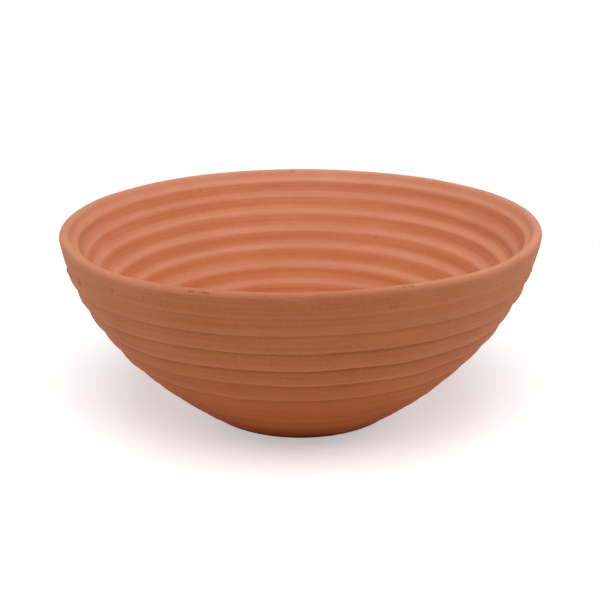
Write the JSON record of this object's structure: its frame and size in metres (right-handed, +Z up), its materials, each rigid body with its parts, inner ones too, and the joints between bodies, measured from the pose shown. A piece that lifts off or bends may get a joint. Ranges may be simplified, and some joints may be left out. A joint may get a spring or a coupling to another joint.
{
  "type": "proofing bowl",
  "caption": "Round thick-walled terracotta bowl with a rounded lip, ringed outside and fluted inside, in which bread dough rises before baking.",
  "frame": {"origin": "middle of the foot's underside, on the surface that the bowl stands on", "axes": "+Z up along the axis that the bowl was turned on; X and Y are level, and all directions round Z are alike"},
  "size_m": [0.22, 0.22, 0.091],
  "materials": {
    "terracotta": "unglazed matte fired red clay"
  },
  "bodies": {
    "root": {"bowl": "terracotta"}
  },
  "joints": []
}
